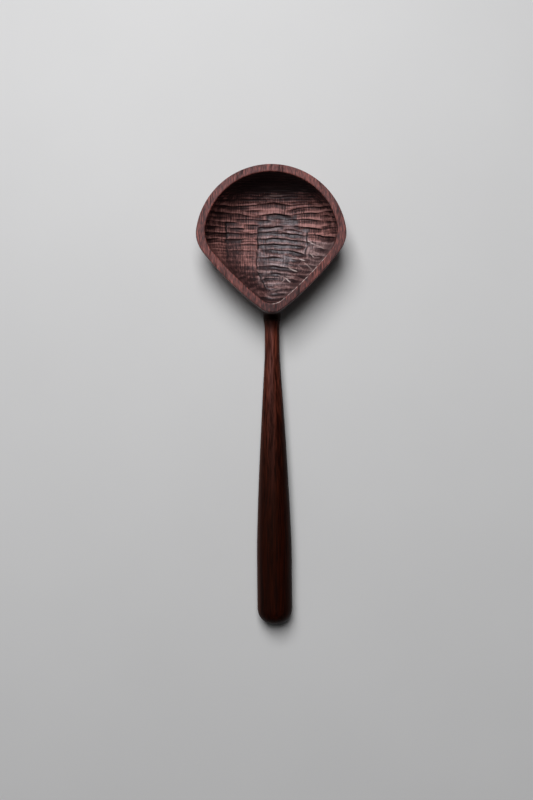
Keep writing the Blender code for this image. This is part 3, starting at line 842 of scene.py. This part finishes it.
class Nodes:
    """A short way to add nodes and links to a material or a world."""

    def __init__(self, owner):
        owner.use_nodes = True
        self.owner, self.tree = owner, owner.node_tree
        self.shader = self.tree.nodes.get("Principled BSDF")

    def add(self, kind, inputs=None, **settings):
        node = self.tree.nodes.new("ShaderNode" + kind)
        for key, value in settings.items():
            setattr(node, key, value)
        self.set(node, inputs or {})
        return node

    def set(self, node, inputs):
        """Links a node's inputs, or sets their values."""
        for key, value in inputs.items():
            if isinstance(value, bpy.types.NodeSocket):
                self.tree.links.new(value, node.inputs[key])
            else:
                node.inputs[key].default_value = value

    def math(self, operation, a, b=0.0):
        return self.add("Math", {0: a, 1: b}, operation=operation).outputs[0]

    def sum(self, *values):
        return functools.reduce(lambda a, b: self.math("ADD", a, b), values)

    def product(self, *values):
        return functools.reduce(lambda a, b: self.math("MULTIPLY", a, b), values)

    def rest(self, value):
        return self.math("SUBTRACT", 1.0, value)

    def place(self):
        return self.add("TexCoord").outputs["Object"]

    def axes(self):
        return self.add("SeparateXYZ", {0: self.place()}).outputs

    def mapped(self, scale, shift):
        return self.add("Mapping", {"Vector": self.place(), "Scale": scale, "Location": shift}).outputs[0]

    def read(self, name):
        return self.add("Attribute", attribute_name=name).outputs["Fac"]

    def noise(self, across, along, scale, detail, roughness, distortion, shift):
        """Noise on the object's own coordinates, in features per metre."""
        place = self.mapped((scale * across, scale * along, scale), (shift,) * 3)
        settings = {"Scale": 1.0, "Detail": detail, "Roughness": roughness, "Distortion": distortion}
        return self.add("TexNoise", {"Vector": place, **settings}).outputs["Fac"]

    def wave(self, spacing, length, centre, distortion, **settings):
        """Waves on the object's own coordinates, this far apart in metres, and that many times longer along Y.

        Blender's waves turn by 20 radians per unit."""
        size = 2 * math.pi / (20 * spacing)
        place = self.mapped((size, size / length, size), tuple(-size * c for c in centre))
        inputs = {"Vector": place, "Scale": 1.0, "Distortion": distortion}
        return self.add("TexWave", {**inputs, **WAVE_DETAIL}, **settings).outputs["Fac"]

    def between(self, value, low, high, out_low=0.0, out_high=1.0):
        ends = {"From Min": low, "From Max": high, "To Min": out_low, "To Max": out_high}
        return self.add("MapRange", {"Value": value, **ends}).outputs[0]

    def swing(self, noise, amount):
        return self.between(noise, *NOISE, -amount, amount)

    def mix(self, factor, a, b, blend="MIX"):
        return self.add("Mix", {0: factor, 6: a, 7: b}, data_type="RGBA", blend_type=blend).outputs[2]

    def mix_value(self, factor, a, b):
        return self.add("Mix", {0: factor, 2: a, 3: b}, data_type="FLOAT").outputs[0]

    def wood(self, colour, rough, height, bump, specular, sheen):
        """Links what a wood's shader takes, and returns the material."""
        relief = self.add("Bump", {"Height": height, "Strength": bump[0], "Distance": bump[1]})
        self.set(self.shader, {"Base Color": colour, "Roughness": rough, "Normal": relief.outputs[0]})
        self.set(self.shader, {"Specular IOR Level": specular, "Specular Tint": sheen})
        return self.owner


def handle_colour(n):
    """Dark wood, redder and lighter to the neck, grain along the handle, painted shade and light: colour, fibres,
    pores.
    """
    bands, fibres, pores = (n.noise(*settings) for settings in HANDLE_NOISES.values())
    across, along, height = n.axes()
    # 0 at the neck and 1 at the grip, quicker at the neck.
    down = n.rest(n.math("POWER", n.between(along, *NECKWARD), NECKWARD_POWER))
    tone = n.sum(n.swing(bands, HANDLE_BANDS), n.swing(fibres, HANDLE_FIBRES), HANDLE_TONE)
    # Painted shade darkens the neck on its right, and a painted sheen lightens it along its top.
    shaded = n.math("SUBTRACT", tone, n.between(across, *NECK_SHADE))
    top = n.between(n.math("ABSOLUTE", n.sum(across, NECK_TOP_LEFT)), *NECK_TOP)
    top = n.product(top, n.between(height, *NECK_TOP_HEIGHTS))
    neck_sheen = n.mix(n.product(shaded, NECK_SHEEN_TONE), NECK_DARK, NECK_SHEEN_COLOUR)
    neck = n.mix(top, n.mix(shaded, NECK_DARK, NECK_LIGHT), neck_sheen)
    # A painted reflection lightens the grip's left flank, up to the round end.
    rise = n.math("SUBTRACT", height, AXIS_HEIGHT)
    away = n.math("SQRT", n.sum(n.product(across, across), n.product(rise, rise)))
    flank = n.between(n.math("DIVIDE", across, away), *FLANK_SHEEN_SIDE)
    flank = n.product(flank, n.between(along, *FLANK_SHEEN_ALONG))
    grip = n.mix(flank, n.mix(tone, GRIP_DARK, GRIP_LIGHT), GRIP_FLANK_SHEEN)
    # Painted shadow of the rim: the corner under it is nearly black.
    colour = n.mix(n.between(along, *RIM_SHADOW_ON_NECK), n.mix(down, neck, grip), GRIP_DARK)
    pore_mask = n.between(pores, *HANDLE_PORES)
    return n.mix(pore_mask, colour, GRIP_DARK), fibres, pore_mask


def bowl_tone(n, inside, skin, wall, contrast, noises):
    """How light the bowl's wood is, from its grain, its relief and its place, before the ramp of its colours."""
    bands, striae, fine, hairs, flecks, patches, smears, side_smears, ends = noises
    x, y, _ = n.axes()
    comb = n.between(n.wave(*COMB, wave_type="BANDS", bands_direction="X"), 0.0, 1.0, *COMB_TONE)
    comb = n.product(n.between(n.read("polish"), *UNPOLISHED), inside, comb)
    grain = n.sum(n.swing(striae, STRIAE), n.swing(flecks, FLECKS), n.swing(fine, FINE), comb)
    rim_grain = n.sum(n.between(hairs, *NOISE, *RIM_HAIRS), n.swing(striae, RIM_STRIAE))
    rings = n.between(n.wave(*YEAR_RINGS, wave_type="RINGS", rings_direction="Y"), 0.0, 1.0, *SKIN_RINGS)
    skin_grain = n.sum(n.swing(ends, SKIN_ENDS), rings, n.swing(striae, SKIN_STRIAE))
    rim_grain = n.mix_value(skin, rim_grain, skin_grain)
    grain = n.product(n.mix_value(inside, rim_grain, grain), contrast)
    smears = n.between(smears, *SOFT_NOISE, *SMEARS)
    side_smears = n.between(side_smears, *SOFT_NOISE, *SIDE_SMEARS)
    smears = n.product(wall, n.mix_value(n.between(y, *FAR_WALL), side_smears, smears))
    bands, patches = n.swing(bands, BANDS), n.between(patches, *SOFT_NOISE, *PATCHES)
    # Painted light and shade: relief lightens the crests of the cuts and darkens their hollows.
    tone = n.sum(grain, bands, patches, smears, n.between(n.read("relief"), *RELIEF_TONE), n.read("tint"))
    # Painted shade: the rim darkens towards the neck, more on its right.
    dark = n.sum(n.between(y, *RIM_NEAR_TIP), n.between(n.math("SUBTRACT", x, y), *RIM_ON_RIGHT))
    return n.math("SUBTRACT", tone, n.mix_value(inside, dark, 0.0))


def bowl_wood():
    """Satin reddish-brown wood, grain along Y, dark pores, painted shade in creases, painted highlights on crests.
    """
    n = Nodes(bpy.data.materials.new("bowl_wood"))
    inside, polish, crease, worn, root = (n.read(name) for name in ("inside", "polish", "crease", "worn", "root"))
    noises = {name: n.noise(*settings) for name, settings in BOWL_NOISES.items()}
    pores, striae = noises.pop("pores"), noises["striae"]
    height = n.axes()[2]
    # High on the wall the gouge has smeared the grain sideways.
    wall = n.product(n.between(height, *SMEARED_HEIGHTS), inside)
    contrast = n.rest(n.product(wall, SMEARED_CALM))
    # The outer wall, below the rim, shows the year rings, and its grain is scraped finer.
    skin = n.product(n.between(height, *SKIN_HEIGHTS), n.rest(inside))
    tone = bowl_tone(n, inside, skin, wall, contrast, noises.values())
    ramp = n.add("ValToRGB", {"Fac": n.product(tone, TONE_SCALE)})
    stops = ramp.color_ramp.elements
    stops[0].color, stops[1].color = WOOD_DARK, WOOD_PALE
    for position, colour in ((0.5 * TONE_SCALE, WOOD_MIDDLE), (TONE_SCALE, WOOD_LIGHT)):
        stops.new(position).color = colour
    pore_mask = n.product(n.between(pores, *BOWL_PORES), contrast, n.rest(n.product(skin, SKIN_PORES)))
    colour = n.mix(pore_mask, ramp.outputs[0], PORE_AND_SHADE)
    # Painted shade: wood tinted below zero, on the far wall, is blackened.
    colour = n.mix(n.between(n.read("tint"), *SHADE_BLACKENING), colour, PORE_AND_SHADE)
    # Painted shade blackens the steep steps of the cuts and the knife lines.
    colour = n.mix(n.product(crease, CREASE_DARK), colour, PORE_AND_SHADE)
    colour = n.mix(inside, n.mix(1.0, colour, RIM_SHADE, "MULTIPLY"), colour)
    # Painted sheen: polished parts of the hollow are greyed and blued.
    sheen_grey = n.product(n.between(polish, *SHEEN_GREYING_POLISH), inside)
    colour = n.mix(sheen_grey, colour, n.mix(1.0, colour, SHEEN_GREYING, "MULTIPLY"))
    # Painted highlights along the ridges and the rim's inner edge.
    colour = n.mix(worn, colour, n.mix(n.between(worn, *GLINT_WHITENING), WOOD_PALE, GLINT_COLOUR))
    colour = n.mix(root, colour, handle_colour(n)[0])
    more = map(n.product, (pore_mask, crease, root, worn), ROUGHER)
    rough = n.sum(n.between(polish, *BOWL_ROUGH), n.swing(striae, ROUGH_STRIAE), *more)
    heights = map(n.product, (noises["flecks"], striae, pore_mask), BOWL_HEIGHTS)
    return n.wood(colour, rough, n.product(n.sum(*heights), contrast), BOWL_BUMP, BOWL_SPECULAR, SHEEN)


def handle_wood():
    """Very dark, smooth, oiled wood."""
    n = Nodes(bpy.data.materials.new("handle_wood"))
    colour, fibres, pore_mask = handle_colour(n)
    rough = n.sum(n.between(fibres, *HANDLE_ROUGH), n.product(pore_mask, ROUGHER[0]))
    heights = map(n.product, (fibres, pore_mask), HANDLE_HEIGHTS)
    return n.wood(colour, rough, n.sum(*heights), HANDLE_BUMP, HANDLE_SPECULAR, HANDLE_SHEEN)


# The floor: half its side, how far it lies below the foot, what its clouds do to its colour, its roughness, and
# where it fades into the background for the camera, from the middle of the spoon.
FLOOR_HALF = 3.0
FLOOR_DROP = 0.00005
CLOUDS = (0.96, 1.04)
FLOOR_ROUGH = 0.55
FADE = (0.28, 0.6)
FADE_CENTRE = (0.0, CAMERA_PLACE[1], 0.0)


def floor_stone():
    """A plain pale floor with a faint cloudiness, which fades into the background far from the spoon."""
    n = Nodes(bpy.data.materials.new("pale_floor"))
    low, high = (tuple(share * c for c in FLOOR_COLOUR[:3]) + (1.0,) for share in CLOUDS)
    n.set(n.shader, {"Base Color": n.mix(n.noise(*FLOOR_CLOUD), low, high), "Roughness": FLOOR_ROUGH})
    away = n.add("VectorMath", {0: n.place(), 1: FADE_CENTRE}, operation="DISTANCE").outputs["Value"]
    fade = n.product(n.between(away, *FADE), n.add("LightPath").outputs["Is Camera Ray"])
    backdrop = n.add("Emission", {"Color": WORLD_COLOUR})
    both = n.add("MixShader", {0: fade, 1: n.shader.outputs[0], 2: backdrop.outputs[0]})
    n.set(n.tree.nodes["Material Output"], {"Surface": both.outputs[0]})
    return n.owner


# Lamps: where each comes from, as seen from the bowl, its distance, its sides and its power. The card on the left
# shows only as a soft gloss.
WINDOW = dict(bearing=math.radians(104), rise=math.radians(64), distance=1.35, size=(0.6, 0.85), power=19.3)
CARD = dict(bearing=math.radians(170), rise=math.radians(38), distance=1.35, size=(1.0, 0.7), power=5.0)


def make_floor():
    corners = [(x * FLOOR_HALF, y * FLOOR_HALF, -FLOOR_DROP) for x, y in ((-1, -1), (1, -1), (1, 1), (-1, 1))]
    floor = mesh_object("floor", corners, [[0, 1, 2, 3]], floor_stone())


def make_camera():
    camera = linked("camera", bpy.data.cameras.new("camera"))
    camera.data.lens = CAMERA_LENS
    camera.data.sensor_width = CAMERA_SENSOR
    camera.data.clip_start = CAMERA_CLIP
    camera.location = CAMERA_PLACE
    camera.rotation_euler = (0.0, 0.0, CAMERA_ROLL)
    scene.camera = camera


def make_lamp(name, bearing, rise, distance, size, power):
    """A lamp with an area of these two sides, turned towards the bowl."""
    lamp = bpy.data.lights.new(name, "AREA")
    lamp.shape = "RECTANGLE"
    lamp.size, lamp.size_y = size
    lamp.energy = power
    made = linked(name, lamp)
    flat = distance * math.cos(rise)
    made.location = (flat * math.cos(bearing), flat * math.sin(bearing), distance * math.sin(rise))
    made.rotation_euler = (-made.location).to_track_quat("-Z", "Y").to_euler()
    return made


def make_world():
    """A faint even light for the spoon, and the pale background for the camera."""
    n = Nodes(bpy.data.worlds.new("room"))
    n.tree.nodes.clear()
    fill = n.add("Background", {"Color": WHITE, "Strength": WORLD_FILL})
    seen = n.add("Background", {"Color": WORLD_COLOUR})
    path = n.add("LightPath").outputs["Is Camera Ray"]
    both = n.add("MixShader", {0: path, 1: fill.outputs[0], 2: seen.outputs[0]})
    n.add("OutputWorld", {"Surface": both.outputs[0]})
    scene.world = n.owner
    scene.view_settings.view_transform = "Standard"


dark_wood = handle_wood()
bowl = make_bowl(bowl_wood(), dark_wood)
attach(bowl, "root")
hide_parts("bowl")
handle = make_handle(dark_wood)
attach(handle, "root")
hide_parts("handle")
make_floor()
make_camera()
make_lamp("window", **WINDOW)
card = make_lamp("gloss_card", **CARD)
card.visible_diffuse = False
make_world()
